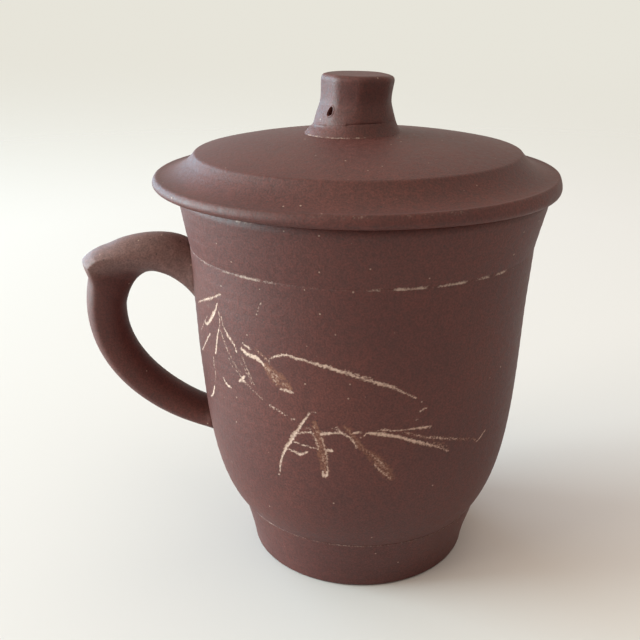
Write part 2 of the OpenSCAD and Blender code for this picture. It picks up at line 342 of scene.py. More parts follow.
foot = clay_piece("foot_ring", turned(foot_line, foot_angles), True, {"wear_and_highlight": step_wear})
foot.data.materials.append(foot_clay)
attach(foot, "cup")
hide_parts("foot_ring")

# Floor disc
# The bottom of the cup, a slab of the same clay let into the foot ring and smoothed over with a
# rib, which left shallow rings round its middle.
axis_gap = 0.6
disc_r = floor_high[0]
disc_under = floor_low[2]
disc_ring_pitch = 3.4
disc_ring_depth = 0.06
disc_line = outline(
    [
        straight((axis_gap, disc_under), (disc_r, disc_under), 24),
        straight((disc_r, disc_under), (disc_r, floor_top), 6),
        straight((disc_r, floor_top), (axis_gap, floor_top), 60),
    ],
    [0.3, 0.3],
    loop=False,
)
disc_grid = turned(disc_line, all_round(160))
disc_from_axis = np.hypot(disc_grid[..., 0], disc_grid[..., 1])
disc_rings = disc_ring_depth * np.sin(2 * np.pi * disc_from_axis / disc_ring_pitch)
disc_grid[..., 2] += np.where(disc_grid[..., 2] > floor_top - 0.5, disc_rings - disc_ring_depth, 0)
floor_disc = clay_piece("floor_disc", disc_grid, False)
floor_disc.data.materials.append(foot_clay)
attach(floor_disc, "cup")
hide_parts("floor_disc")

# Body wall
# The belly and the long side of the cup, thrown in one and left unglazed. A spray of bamboo was
# scratched through its skin with a point, so the strokes show the paler clay and some rust.
body_clay = clay("body_clay")
ring_z = solid("body_wall")[1][2]
belly_turn = 12.6
wall_lean = 2.4
wall_lean_h = 23.7
wall_curve = bend((step_r, foot_h), (cup_r, foot_h + belly_turn),
                  (cup_r - wall_lean, ring_z - wall_lean_h), (cup_r, ring_z), 400)


def wall_r(height):
    """Radius of the wall's outside at a height."""
    return np.interp(height, wall_curve[:, 1], wall_curve[:, 0])


spray_low, spray_high = 36.0, 83.0
stroke_pitch = 0.33
wall_sink = 0.1
ring_band = 0.6
ring_band_gap = 0.1
wall_levels = np.concatenate((
    np.linspace(foot_h - wall_sink, spray_low, 18)[:-1],
    np.arange(spray_low, spray_high, stroke_pitch),
    np.linspace(spray_high, ring_z - ring_band - ring_band_gap, 6),
    np.linspace(ring_z - ring_band, ring_z, 6),
))
wall_outside = np.stack((wall_r(wall_levels), wall_levels), 1)
wall_inside = wall_outside[::-6] - (wall_t, 0)
wall_inside = np.concatenate((wall_inside, wall_outside[:1] - (wall_t, 0)))
wall_line = outline(
    [
        wall_outside,
        straight((cup_r, ring_z), (cup_r - wall_t, ring_z), 4),
        wall_inside,
        straight(wall_inside[-1], wall_outside[0], 3),
    ],
    [0.12, 0.2, 0.2, 0.05],
)
# The columns, in degrees, are closer together where the spray is
spray_turn = (-168, -42)
spray_column, plain_column = 0.385, 2.6
wall_angles = np.radians(np.concatenate((
    np.arange(*spray_turn, spray_column),
    np.arange(spray_turn[1], spray_turn[0] + 360, plain_column),
)))
wall_grid = turned(wall_line, wall_angles)

spray_r = 42.0
spray_half_turn = 1.6
wall_skin = 0.6
stroke_step = 0.3
stroke_least = 0.16
stroke_shake = 0.04
groove_depth = 0.3
groove_wide = 0.4
from_front = turn_from(FRONT, wall_angles)
across = spray_r * from_front + 0 * wall_line[:, 1:]
upward = wall_line[:, 1:] + 0 * from_front
on_outside = wall_line[:, :1] > wall_r(wall_line[:, 1:]) - wall_skin
on_outside = on_outside & (np.abs(from_front) < spray_half_turn)


def stroke_marks(stroke, seed):
    """How one stroke marks the wall. Its line runs through the given points, whose corners are worn
    round by averaging neighbours, and is shaken a little. Its width changes evenly from point to
    point, and the hand's pressure wanders. The distance to the line, as a share of the half width,
    gives the bared clay, the rust round it, and the groove with its low burr."""
    pale, rust, points = stroke
    points = np.array(points)
    length = np.concatenate(([0], np.cumsum(np.hypot(*np.diff(points[:, :2], axis=0).T))))
    count = int(length[-1] / stroke_step) + 5
    share = np.linspace(0, 1, count)
    line = np.stack([np.interp(share * length[-1], length, points[:, k]) for k in (0, 1, 2)], 1)
    for smoothing in range(5):
        line[1:-1] = (line[:-2] + 2 * line[1:-1] + line[2:]) / 4
    draw = np.random.default_rng(seed)
    press = np.interp(share, np.linspace(0, 1, 11), draw.uniform(0.7, 1.0, 11))
    half = np.maximum(0.45 * line[:, 2] * (0.7 + 0.4 * press), stroke_least)
    line = line[:, :2] + stroke_shake * draw.normal(0, 1, (count, 2))
    margin = 2 * half.max() + 0.3
    low, high = line.min(0) - margin, line.max(0) + margin
    near = (on_outside & (across > low[0]) & (across < high[0])
            & (upward > low[1]) & (upward < high[1]))
    here = np.stack((across[near], upward[near]), 1)[:, None]
    step = np.diff(line, axis=0)[None]
    part_way = np.clip(((here - line[None, :-1]) * step).sum(2) / (step**2).sum(2), 0, 1)
    gap = np.linalg.norm(here - line[None, :-1] - part_way[..., None] * step, axis=2) / half[:-1]
    nearest = gap.argmin(1)
    off = gap.min(1)
    bare, stain, dent = np.zeros((3,) + across.shape)
    bare[near] = pale * press[nearest] * np.clip(1.5 - off, 0, 1)
    stain[near] = rust * press[nearest] * np.clip(1.8 - 0.8 * off, 0, 1)
    groove = -np.clip(1 - off**2, 0, 1) + 0.3 * mound(off, 1.4, 0.35)
    deep = groove_depth * np.minimum(half[nearest], groove_wide)
    dent[near] = deep * pale * press[nearest] * groove
    return bare, stain, dent


# Each stroke: how far it bares the paler clay, how rusty it is, and its points as distance round
# from the front, height and width
spray = [
    (0.8, 0.4, ((-51.6, 74.3, 0.3), (-45.4, 77.0, 0.5), (-42.6, 78.1, 0.75), (-41.2, 78.8, 0.35),
        (-37.5, 80.6, 0.45))),
    (1, 0.2, ((-39.2, 77.9, 0.3), (-40.1, 76.0, 0.5), (-41.4, 74.5, 1), (-43.5, 72.2, 0.7),
        (-45.8, 70.3, 0.6), (-47.3, 70.6, 0.3))),
    (0.5, 0.1, ((-45.2, 72.6, 0.3), (-47.9, 70.1, 0.35), (-51.8, 66.4, 0.3))),
    (0.45, 0.2, ((-44.1, 76.6, 0.3), (-43.8, 75.6, 0.35))),
    (0.85, 0.1, ((-44.5, 68.3, 0.4), (-46.6, 66.2, 0.5), (-49.4, 63.5, 0.35), (-52.4, 61.1, 0.25))),
    (0.5, 0.4, ((-38.8, 76.4, 0.3), (-38.5, 74.5, 0.35), (-38.9, 72.1, 0.4))),
    (1, 0.2, ((-39.3, 71.5, 0.4), (-40.4, 69.1, 0.5), (-41.2, 66.7, 0.45), (-41.9, 64.8, 0.75),
        (-42.1, 64.1, 0.5))),
    (0.45, 0.3, ((-43.6, 62.8, 0.3), (-43.6, 60.4, 0.35), (-43.2, 58.3, 0.35), (-44.1, 55.4, 0.3))),
    (1, 0.1, ((-45.0, 54.1, 0.4), (-46.2, 52.1, 0.6), (-47.4, 50.5, 0.55), (-49.5, 49.1, 0.35))),
    (0.55, 0.2, ((-37.9, 75.1, 0.3), (-37.5, 73.4, 0.35), (-36.6, 71.6, 0.4))),
    (1, 0.2, ((-36.6, 71.9, 0.4), (-35.6, 70.7, 0.65), (-34.5, 69.8, 0.55), (-33.6, 69.1, 0.35),
        (-32.8, 67.4, 0.3))),
    (0.5, 0.3, ((-38.6, 71.3, 0.3), (-37.7, 69.2, 0.4), (-36.2, 66.5, 0.4), (-34.2, 64.1, 0.4),
        (-32.2, 62.2, 0.3))),
    (0.45, 0.2, ((-31.3, 66.8, 0.3), (-30.2, 65.0, 0.35), (-29.1, 62.6, 0.4), (-27.9, 60.4, 0.3))),
    (0.4, 0.2, ((-31.9, 65.4, 0.3), (-30.7, 63.8, 0.35), (-29.7, 62.4, 0.35), (-28.6, 60.4, 0.3))),
    (0.35, 0.2, ((-36.3, 64.8, 0.3), (-34.9, 63.1, 0.35), (-33.0, 62.0, 0.35), (-31.2, 61.0, 0.3))),
    (0.4, 0.2, ((-30.0, 59.9, 0.3), (-28.4, 58.8, 0.35), (-25.4, 57.1, 0.3))),
    (1, 0.1, ((-32.8, 59.8, 0.4), (-31.9, 60.5, 0.95), (-31.3, 61.1, 0.7), (-30.8, 61.8, 0.35))),
    (0.95, 0.1, ((-31.9, 60.4, 0.7), (-31.1, 60.4, 0.6), (-30.3, 59.8, 0.35))),
    (1, 0.1, ((-39.3, 58.4, 0.3), (-38.6, 57.5, 0.5), (-37.5, 57.0, 0.75), (-36.4, 56.8, 0.4))),
    (1.1, 0.2, ((-31.3, 68.8, 0.5), (-30.5, 68.3, 0.95), (-29.0, 67.8, 1), (-26.8, 67.7, 1),
        (-25.5, 67.1, 0.75), (-24.7, 66.2, 0.4))),
    (0.85, 0.3, ((-30.6, 70.3, 0.35), (-29.5, 69.8, 0.5), (-28.8, 69.6, 0.7), (-28.3, 69.5, 0.3))),
    (0.3, 0.7, ((-26.7, 69.8, 0.35), (-25.3, 68.9, 0.4), (-23.5, 67.6, 0.5))),
    (0.55, 0.3, ((-23.1, 67.0, 0.4), (-23.2, 67.6, 0.35), (-22.6, 68.5, 0.4), (-21.4, 69.2, 0.4))),
    (0.95, 0.2, ((-21.6, 69.1, 0.4), (-18.9, 70.1, 0.6), (-16.7, 69.7, 0.55), (-13.8, 69.4, 0.5),
        (-11.4, 68.8, 0.6), (-10.1, 68.5, 0.8), (-8.5, 68.2, 0.7))),
    (0.15, 0.95, ((-24.5, 66.5, 0.8), (-22.7, 64.8, 1.6), (-20.6, 63.4, 2), (-18.3, 61.8, 1))),
    (0.5, 0.4, ((-24.1, 65.6, 0.35), (-22.9, 64.8, 0.35), (-21.5, 62.2, 0.5))),
    (0.45, 0.4, ((-22.1, 64.9, 0.3), (-20.3, 63.6, 0.35), (-18.6, 62.0, 0.3))),
    (1, 0.2, ((-20.3, 61.1, 0.45), (-19.2, 61.1, 0.75), (-18.2, 61.1, 0.7), (-17.3, 60.8, 0.35))),
    (0.35, 0, ((-24.4, 81.5, 0.25), (-25.5, 79.3, 0.25))),
    (1, 0.2, ((-10.7, 68.5, 0.7), (-9.6, 68.6, 0.65), (-7.6, 67.9, 0.8), (-4.6, 67.0, 0.75),
        (-1.6, 65.9, 0.65), (1.1, 65.0, 0.8), (3.7, 64.1, 0.95), (5.4, 63.4, 0.85), (6.5, 62.9, 0.5),
        (8.4, 61.7, 0.35), (10.9, 60.2, 0.25))),
    (0.5, 0.2, ((-5.0, 67.9, 0.3), (-3.1, 67.1, 0.4), (-0.6, 66.2, 0.4), (1.1, 65.5, 0.35))),
    (0.8, 0.1, ((12.0, 56.5, 0.35), (12.6, 56.9, 0.6), (13.6, 57.2, 0.3))),
    (0.7, 0.1, ((11.3, 54.6, 0.4), (11.5, 54.5, 0.4))),
    (0.7, 0.2, ((-23.5, 56.0, 0.4), (-22.1, 55.6, 0.35), (-20.7, 55.0, 0.4), (-19.2, 54.4, 0.3))),
    (0.7, 0.1, ((-18.0, 53.6, 0.4), (-17.5, 54.0, 0.4), (-17.1, 53.8, 0.3))),
    (0.45, 0.1, ((-11.8, 56.6, 0.3), (-12.8, 56.5, 0.35), (-13.4, 56.2, 0.4))),
    (1, 0.2, ((-13.3, 56.2, 0.4), (-14.5, 54.4, 0.55), (-15.6, 52.7, 0.65), (-16.4, 51.0, 0.7),
        (-17.8, 49.4, 1.1), (-18.5, 47.6, 0.9), (-19.7, 46.0, 0.75), (-21.1, 42.8, 0.5),
        (-21.9, 40.4, 0.55), (-22.3, 38.2, 0.45))),
    (0.8, 0.1, ((-22.6, 37.1, 0.4), (-22.5, 37.0, 0.4))),
    (0.95, 0.2, ((-16.2, 50.2, 0.35), (-15.0, 50.8, 0.45), (-14.0, 50.9, 0.45), (-12.7, 51.0, 0.35))),
    (0.6, 0.1, ((-14.4, 52.0, 0.35), (-13.8, 52.2, 0.3), (-13.3, 51.8, 0.4))),
    (0.85, 0.1, ((-17.6, 47.6, 0.3), (-16.0, 47.4, 0.35), (-14.0, 47.0, 0.4), (-11.7, 46.7, 0.3))),
    (1, 0.1, ((-19.3, 45.2, 0.4), (-17.9, 45.0, 0.5), (-16.7, 44.5, 0.75), (-15.7, 44.6, 0.7),
        (-14.4, 45.5, 0.4))),
    (0.15, 0.95, ((-12.3, 53.5, 0.8), (-11.5, 50.4, 1.4), (-10.7, 46.7, 1.5), (-10.2, 43.0, 1.5),
        (-10.1, 39.8, 1.2))),
    (0.6, 0.5, ((-12.8, 50.8, 0.35), (-12.3, 49.4, 0.6), (-11.7, 48.0, 0.5), (-11.4, 46.8, 0.4))),
    (0.65, 0.6, ((-10.7, 50.5, 0.3), (-10.1, 47.6, 0.35), (-9.5, 45.0, 0.45), (-9.5, 41.3, 0.35))),
    (0.35, 0.7, ((-12.7, 53.5, 0.3), (-12.0, 51.5, 0.35), (-10.9, 50.0, 0.3))),
    (1.05, 0.1, ((-10.6, 40.7, 0.5), (-10.7, 39.6, 0.65), (-10.2, 39.0, 0.75), (-9.7, 39.7, 0.65),
        (-9.5, 40.8, 0.45))),
    (1.05, 0.2, ((-10.8, 50.9, 0.6), (-10.1, 51.1, 1), (-9.1, 51.4, 0.75), (-7.9, 51.6, 0.5),
        (-6.1, 51.7, 0.55))),
    (0.9, 0.2, ((-7.2, 53.3, 0.3), (-6.5, 52.3, 0.45), (-5.8, 51.6, 0.55), (-4.4, 50.8, 0.55),
        (-3.3, 49.8, 0.5), (-2.5, 48.0, 0.25))),
    (0.6, 0.2, ((-8.2, 52.7, 0.3), (-7.4, 52.6, 0.4), (-6.7, 52.4, 0.35))),
    (0.95, 0.3, ((-3.2, 51.8, 0.35), (-2.5, 52.1, 0.6), (-2.0, 52.2, 0.5), (-1.3, 52.0, 0.3))),
    (0.85, 0.2, ((-0.7, 51.2, 0.35), (-0.2, 52.0, 0.45), (0.4, 52.1, 0.4), (2.2, 51.6, 0.7),
        (4.0, 51.4, 0.75), (5.2, 51.1, 0.75))),
    (0.6, 0.3, ((2.0, 52.3, 0.3), (3.0, 52.4, 0.35), (3.9, 52.7, 0.5), (5.2, 52.3, 0.4))),
    (1.05, 0.1, ((-9.8, 46.7, 0.4), (-9.1, 46.8, 0.7), (-8.6, 46.7, 0.8), (-8.2, 46.7, 0.4))),
    (0.15, 0.9, ((-4.9, 53.3, 0.7), (-3.4, 50.8, 1), (-2.1, 48.7, 0.9), (-0.7, 47.3, 0.8),
        (1.3, 45.5, 1.4), (3.8, 42.5, 1.9), (5.9, 39.1, 1))),
    (0.45, 0.7, ((-0.1, 46.9, 0.3), (2.3, 44.8, 0.35), (4.5, 42.4, 0.5))),
    (0.65, 0.6, ((1.8, 43.3, 0.4), (3.1, 41.5, 0.45), (4.5, 40.3, 0.4), (5.7, 39.1, 0.5))),
    (1.05, 0.3, ((0.6, 51.8, 0.6), (2.4, 51.6, 0.8), (4.4, 51.2, 0.85), (7.4, 50.4, 0.85),
        (10.0, 49.3, 0.75), (12.5, 48.2, 0.8), (15.3, 47.0, 0.65))),
    (0.65, 0.6, ((15.3, 47.0, 0.6), (17.1, 46.2, 0.5), (19.3, 44.8, 0.5), (20.6, 43.9, 0.35))),
    (0.75, 0.4, ((3.2, 52.6, 0.5), (3.8, 52.8, 0.4), (4.6, 52.3, 0.55), (6.1, 52.2, 0.4),
        (7.7, 52.2, 0.4))),
    (0.95, 0.3, ((7.7, 52.2, 0.35), (9.8, 52.2, 0.45), (12.3, 52.2, 0.5), (14.0, 52.1, 0.5),
        (15.2, 52.0, 0.3))),
    (0.4, 0.5, ((8.3, 51.6, 0.4), (10.8, 50.6, 0.4), (14.2, 49.3, 0.5))),
    (0.55, 0.5, ((14.0, 49.3, 0.4), (17.1, 48.6, 0.75), (18.9, 47.9, 0.5), (22.9, 46.8, 0.5))),
    (0.2, 0.5, ((23.0, 46.8, 0.5), (25.8, 45.7, 0.5), (27.9, 45.4, 0.6), (30.5, 43.6, 0.5))),
    (0.85, 0.2, ((30.4, 43.6, 0.35), (31.4, 44.0, 0.4), (32.3, 44.6, 0.45), (33.3, 45.5, 0.35))),
    (0.2, 0.55, ((16.3, 47.3, 0.8), (18.4, 46.2, 1), (20.3, 45.1, 0.8))),
]
wall_bare, wall_rust, wall_dent = np.zeros((3,) + across.shape)
for seed, stroke in enumerate(spray):
    bare, stain, dent = stroke_marks(stroke, seed)
    wall_bare = np.maximum(wall_bare, bare)
    wall_rust = np.maximum(wall_rust, stain)
    wall_dent = np.where(np.abs(dent) > np.abs(wall_dent), dent, wall_dent)
wall_grid += wall_dent[..., None] * outward(wall_angles)

# Each dash on the ring line: how pale it is, and its first and last degree from the front. The long
# first dash on the left is a painted highlight where the light catches the ledge; the others are
# rubbed wear
ring_dashes_and_highlight = (
    (0.36, -92, -42), (0.75, -40, -34), (0.45, -31, -28), (0.6, 1, 2), (1.25, 8, 15),
    (1.1, 21, 28), (0.85, 34, 37), (0.85, 42, 45), (0.8, 95, 130), (0.8, -170, -150),
)
faint_line = 0.08
near_ring_r = cup_r - 0.9


def ring_wear_and_highlight(angle):
    """How pale the ring line is round the cup: dashes where it was knocked, a painted highlight along
    the ledge on the lit left side, and a faint line.
    """
    dashes = [much * rubbed(angle, first, last) for much, first, last in ring_dashes_and_highlight]
    broken = 0.4 + 0.6 * uneven(angle, 110, 5)
    return np.maximum(np.maximum.reduce(dashes) * broken, faint_line)


# Pale wear on the ring line, and a painted highlight where light catches its ledge on the left
at_ring = ramp(wall_line[:, 1:], ring_z - 0.55, 0.2) * (wall_line[:, :1] > near_ring_r)
wall_wear_and_highlight = at_ring * ring_wear_and_highlight(wall_angles)
wall = clay_piece("body_wall", wall_grid, True,
                  {"wear_and_highlight": wall_wear_and_highlight, "scratch": wall_bare, "rust": wall_rust})
wall.data.materials.append(body_clay)
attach(wall, "cup")
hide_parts("body_wall")

# Neck band
# The flared top of the cup. It was turned a hair thinner than the wall, which leaves the ring line
# as a small ledge, and its mouth was rounded with a strip of wet leather.
neck_high = solid("neck_band")[1]
mouth_room = 0.9
mouth_r = neck_high[0] - mouth_room
mouth_t = 2.7
lip_h = 2.4
mouth_z = neck_high[2] - lip_h
mouth_shift = 0.45
ring_step = 0.05
neck_sink = 0.15
neck_low = ring_z - neck_sink
neck_rise = mouth_z - ring_z


def neck_side(low_r, high_r, count):
    """Side of the neck: it leaves the ring line steeply and flares to the mouth."""
    flare = high_r - low_r
    side = bend((low_r, ring_z), (low_r + flare * 0.40, ring_z + neck_rise * 0.35),
                (high_r - flare * 0.22, mouth_z - neck_rise * 0.25), (high_r, mouth_z), count)
    return np.concatenate(([(low_r, neck_low)], side))


lip_turn = np.linspace(0, np.pi, 18)[1:-1]
lip = np.stack((mouth_r - mouth_t / 2 + mouth_t / 2 * np.cos(lip_turn),
                mouth_z + lip_h * np.sin(lip_turn)), 1)
neck_line = outline(
    [
        np.concatenate((neck_side(cup_r - ring_step, mouth_r, 30), lip,
                        neck_side(cup_r - wall_t, mouth_r - mouth_t, 20)[::-1])),
        straight((cup_r - wall_t, neck_low), (cup_r - ring_step, neck_low), 4),
    ],
    [0.1, 0.02],
)
neck_angles = all_round(380)
lip_chips = rubbed(neck_angles, -39, -35) * uneven(neck_angles, 260, 9)
lip_chips = np.maximum(lip_chips, 0.7 * rubbed(neck_angles, 60, 66) * uneven(neck_angles, 260, 10))
on_lip = mound(neck_line[:, 1:], mouth_z + 1.3, 0.35) * (neck_line[:, :1] > mouth_r - 0.8)
neck_grid = turned(neck_line, neck_angles)
neck_grid[..., 0] += mouth_shift * ramp(neck_grid[..., 2], ring_z, neck_rise)**1.5
over_ring = (1 - ramp(neck_line[:, 1:], ring_z, 0.35)) * (neck_line[:, :1] > near_ring_r)
# Chips on the lip, and the ring line's wear and painted highlight
neck_wear_and_highlight = np.maximum(on_lip * lip_chips, 0.8 * over_ring * ring_wear_and_highlight(neck_angles))
neck = clay_piece("neck_band", neck_grid, True, {"wear_and_highlight": neck_wear_and_highlight})
neck.data.materials.append(body_clay)
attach(neck, "cup")
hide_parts("neck_band")

# Handle
# An ear of clay pulled to an oval section, pinched to a thumb spur at its shoulder, bent over and
# luted to the wall at both ends with slip wiped into a small fillet. Its top and outer side are
# painted a paler grey: a painted sheen where the light from the left falls on them.
ear_low, ear_high = solid("handle")
arm_r = -ear_low[0]
ear_w = ear_high[1] - ear_low[1]
ear_half_w = ear_w / 2 - 0.5
spur_tip = (arm_r - 0.12, 81.5)
notch = (arm_r - 1.65, 78.1)
top_root, under_root = (45.2, 86.95), (44.2, 72.1)
low_root, inner_root = (41.2, 33.3), (42.4, 41.1)
arm_inside = (62.3, 69.0)
ear_outside = np.concatenate((
    straight((41.8, 85.2), top_root, 8)[:-1],
    bend(top_root, (53.0, 91.1), (69.3, 86.0), spur_tip, 66)[:-1],
    bend(spur_tip, (arm_r + 0.1, spur_tip[1] - 0.3), (arm_r - 0.75, spur_tip[1] - 2.3), notch,
         22)[:-1],
    bend(notch, (77.6, 55.9), (61.6, 38.6), low_root, 94)[:-1],
    straight(low_root, (39.2, 32.9), 5),
))
ear_inside = np.concatenate((
    straight((41.2, 68.4), under_root, 8)[:-1],
    bend(under_root, (50.8, 80.6), (59.4, 80.9), arm_inside, 87)[:-1],
    bend(arm_inside, (63.5, 56.4), (52.7, 46.4), inner_root, 94)[:-1],
    straight(inner_root, (40.4, 40.45), 5),
))
thumb_r, thumb_w, thumb_depth = 65.8, 2.4, 0.3
on_top = ear_outside[:, 1] > 80
ear_outside[:, 1] -= thumb_depth * mound(ear_outside[:, 0], thumb_r, thumb_w) * on_top

# Round each section out_in goes from 1 on the outer line to -1 on the inner one, and to_side from
# side to side. A lens power under 2 sharpens the oval, and ridge_off moves its widest part outwards
ear_sides = np.linspace(0, 2 * np.pi, 96, endpoint=False)
ear_share = np.linspace(0, 1, len(ear_outside))[:, None]
spur_share = mound(ear_share, 0.40, 0.11)
lens = np.interp(ear_share, (0, 0.18, 0.26, 0.34, 0.38, 0.43, 0.49, 0.6, 1),
                 (2.0, 2.0, 1.8, 1.55, 1.55, 1.8, 1.9, 1.85, 2.0))
ridge_off = np.interp(ear_share, (0, 0.12, 0.2, 0.26, 0.32, 0.38, 0.43, 0.5, 0.6, 0.85, 1),
                      (-0.25, -0.2, 0.0, 0.35, 0.6, 0.6, 0.42, 0.32, 0.32, 0.28, 0.2))
out_in = np.sign(np.cos(ear_sides)) * np.abs(np.cos(ear_sides))**(2 / lens)
out_in = ridge_off + out_in - np.sign(out_in) * ridge_off * out_in
to_side = np.sign(np.sin(ear_sides)) * np.abs(np.sin(ear_sides))**(2 / lens)

# The outer line keeps its crisp spur, and the rest of each section follows a smoothed line
wipe_reach = 8
wiping = np.hanning(2 * wipe_reach + 3)[1:-1]
wiping = wiping / wiping.sum()
ear_wiped = np.stack([np.convolve(np.pad(ear_outside[:, k], wipe_reach, "edge"), wiping, "valid")
                      for k in (0, 1)], 1)
ear_crisp = np.clip(out_in, 0, 1)[..., None]**4
ear_edge = ear_wiped[:, None] + ear_crisp * (ear_outside - ear_wiped)[:, None]
outer_share = (1 + out_in[..., None]) / 2
ear_place = outer_share * ear_edge + (1 - outer_share) * ear_inside[:, None]
root_reach, root_spread, root_fade = 6, 0.13, 1.6
root_off = np.clip(ear_place[..., 0] - wall_r(ear_place[..., 1]), 0, root_reach)
root_flare = 1 + root_spread * np.exp(-root_off / root_fade)
spur_pinch = 0.12
pinch = 1 - spur_pinch * spur_share * np.clip(out_in, 0, 1)**2
side_sway = 0.12 * np.sin(5.3 * ear_share + 2.1) + 0.06 * np.sin(17 * ear_share)
ear_y = ear_half_w * to_side * pinch * root_flare + side_sway
ear_y = np.clip(ear_y, ear_low[1], ear_high[1])
ear_grid = np.stack((np.maximum(-ear_place[..., 0], -arm_r), ear_y, ear_place[..., 1]), -1)

# Painted sheen where light falls on the handle: each section is painted paler grey from a point across
# it outwards, by a share that is largest near the root and the spur
sheen_from = np.interp(ear_share, (0, 0.28, 0.42, 1), (-1.3, -1.1, 0.1, 0.3))
sheen_much = np.interp(ear_share, (0, 0.38, 0.5, 1), (0.7, 0.8, 0.4, 0.3))
painted_sheen_share = sheen_much * ramp(out_in, sheen_from, 0.7)
ear = clay_piece("handle", ear_grid, False, {"painted_sheen": painted_sheen_share})
ear.data.materials.append(body_clay)
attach(ear, "cup")
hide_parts("handle")

# Lid flange
# The outer ring of the lid, with a round nose to lift it by, a crisp upper edge, and the foot of
# the cove that climbs to the dome. It lies loose on the mouth.
lid_clay = clay("lid_clay")
flange_low, flange_high = solid("lid_flange")
lid_centre = (flange_low[0] + flange_high[0]) / 2
lid_r = (flange_high[0] - flange_low[0]) / 2
lid_z = flange_low[2]
rim_t = 3.1
cove_rise = 5.0
dome_r = 40.55
rim_top = lid_z + rim_t
nose_z = rim_top - 1.7
cove_r = lid_r - 1.9
rim_under_r = lid_r - 2.6
dome_edge_z = rim_top + cove_rise
cove = bend((cove_r, rim_top), (cove_r - 3.4, rim_top + cove_rise * 0.06),
            (dome_r + 2.3, dome_edge_z - cove_rise * 0.6), (dome_r, dome_edge_z), 41)
rim_nose = np.concatenate((
    bend((rim_under_r, lid_z), (lid_r - 1.1, lid_z), (lid_r, nose_z - 0.9), (lid_r, nose_z),
         18)[:-1],
    bend((lid_r, nose_z), (lid_r, nose_z + 0.95), (lid_r - 0.75, rim_top), (cove_r, rim_top), 18),
))
# The rim hangs down most towards +X and is lifted a little towards the handle
rim_hang = 0.35
rim_hang_turn = 1.3
rim_hang_less = 0.6
shoulder_rise = 0.3
hang_r = lid_r - 2.2
lid_tilt = np.radians(0.12)
seam_step = 24
seam_r, seam_z = cove[seam_step]
ring_low, ring_high = solid("lid_locating_ring")
locating_r = (ring_high[0] - ring_low[0]) / 2
locating_t = 3.6
locating_bore_r = locating_r - locating_t


def lid_sway(angle, height):
    """How far the lid is out of true: its rim swells towards the handle by the square of the
    cosine, up to the cove, and it is a hair narrower from front to back."""
    on_rim = 1 - ramp(height, dome_edge_z - 5, 3)
    return 0.5 * on_rim * np.clip(-np.cos(angle), 0, 1)**2 - 0.08 * np.sin(angle)**2


flange_line = outline(
    [
        straight((locating_bore_r, lid_z), (rim_under_r, lid_z), 14),
        rim_nose,
        cove[:seam_step + 1],
        straight((seam_r, seam_z), (locating_bore_r, seam_z), 4),
        straight((locating_bore_r, seam_z), (locating_bore_r, lid_z), 4),
    ],
    [0.1, 0.1, 0.02, 0.1, 0.1],
)
flange_angles = all_round(420)
rim_rub = mound(flange_line[:, 1:], rim_top - 0.5, 0.3) * (flange_line[:, :1] > cove_r)
rim_rub = rim_rub * uneven(flange_angles, 200, 14) * (0.05 + 0.1 * rubbed(flange_angles, -12, 24))
flange_grid = turned(flange_line, flange_angles, lid_sway, lid_centre, lid_tilt)
hanging = 1 - ramp(flange_line[:, 1:], lid_z, rim_t)
hanging = hanging * ramp(flange_line[:, :1], hang_r, lid_r - 1 - hang_r)
rim_way = np.cos(flange_angles)
rim_drop = rim_hang + rim_hang_turn * np.maximum(rim_way, 0)**2
rim_drop = rim_drop + rim_hang_less * np.minimum(rim_way, 0)
flange_grid[..., 2] -= hanging * rim_drop
shoulder = mound(flange_line[:, :1], lid_r - 0.7, 0.6) * mound(flange_line[:, 1:], rim_top - 0.3, 0.6)
flange_grid[..., 2] += shoulder * shoulder_rise * (1 + 0.6 * rim_way)
flange = clay_piece("lid_flange", flange_grid, True, {"wear_and_highlight": rim_rub})
flange.data.materials.append(lid_clay)
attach(flange, "lid")
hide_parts("lid_flange")

# Lid dome
# The raised disc that closes the lid. It ends in a crisp edge above the cove, swells gently to
# the knob's seat, and is flat underneath.
dome_top = solid("lid_dome")[1][2]
dome_rise = dome_top - dome_edge_z
collar_low, collar_high = solid("knob_collar")
collar_r = (collar_high[0] - collar_low[0]) / 2
dome_w = dome_r - collar_r
dome_lap = 0.2
dome_under = seam_z - dome_lap
dome_foot_r = seam_r + dome_lap
dome_line = outline(
    [
        straight((axis_gap, dome_under), (dome_foot_r, dome_under), 30),
        np.concatenate(([(dome_foot_r, dome_under)], cove[seam_step:])),
        bend((dome_r, dome_edge_z), (dome_r - dome_w * 0.35, dome_edge_z + dome_rise * 0.55),
             (collar_r + dome_w * 0.35, dome_top - dome_rise * 0.3), (collar_r, dome_top), 64),
        straight((collar_r, dome_top), (axis_gap, dome_top), 8),
    ],
    [0.05, 0.45, 0.4],
    loop=False,
)
dome_grid = turned(dome_line, all_round(360), lid_sway, lid_centre, lid_tilt)
dome = clay_piece("lid_dome", dome_grid, False)
dome.data.materials.append(lid_clay)
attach(dome, "lid")
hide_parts("lid_dome")

# Lid locating ring
# A short ring of clay luted under the flange. It drops into the mouth with some play and keeps
# the lid from sliding off when the mug is tipped.
luted_depth = 0.4
luted_z = lid_z + luted_depth
ring_under = ring_low[2]
ring_line = outline(
    [
        straight((locating_bore_r, ring_under), (locating_r, ring_under), 6),
        straight((locating_r, ring_under), (locating_r, luted_z), 10),
        straight((locating_r, luted_z), (locating_bore_r, luted_z), 4),
        straight((locating_bore_r, luted_z), (locating_bore_r, ring_under), 10),
    ],
    [0.9, 0.1, 0.1, 0.9],
)
locating_grid = turned(ring_line, all_round(260), lid_sway, lid_centre)
locating_ring = clay_piece("lid_locating_ring", locating_grid, True)
locating_ring.data.materials.append(lid_clay)
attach(locating_ring, "lid")
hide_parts("lid_locating_ring")

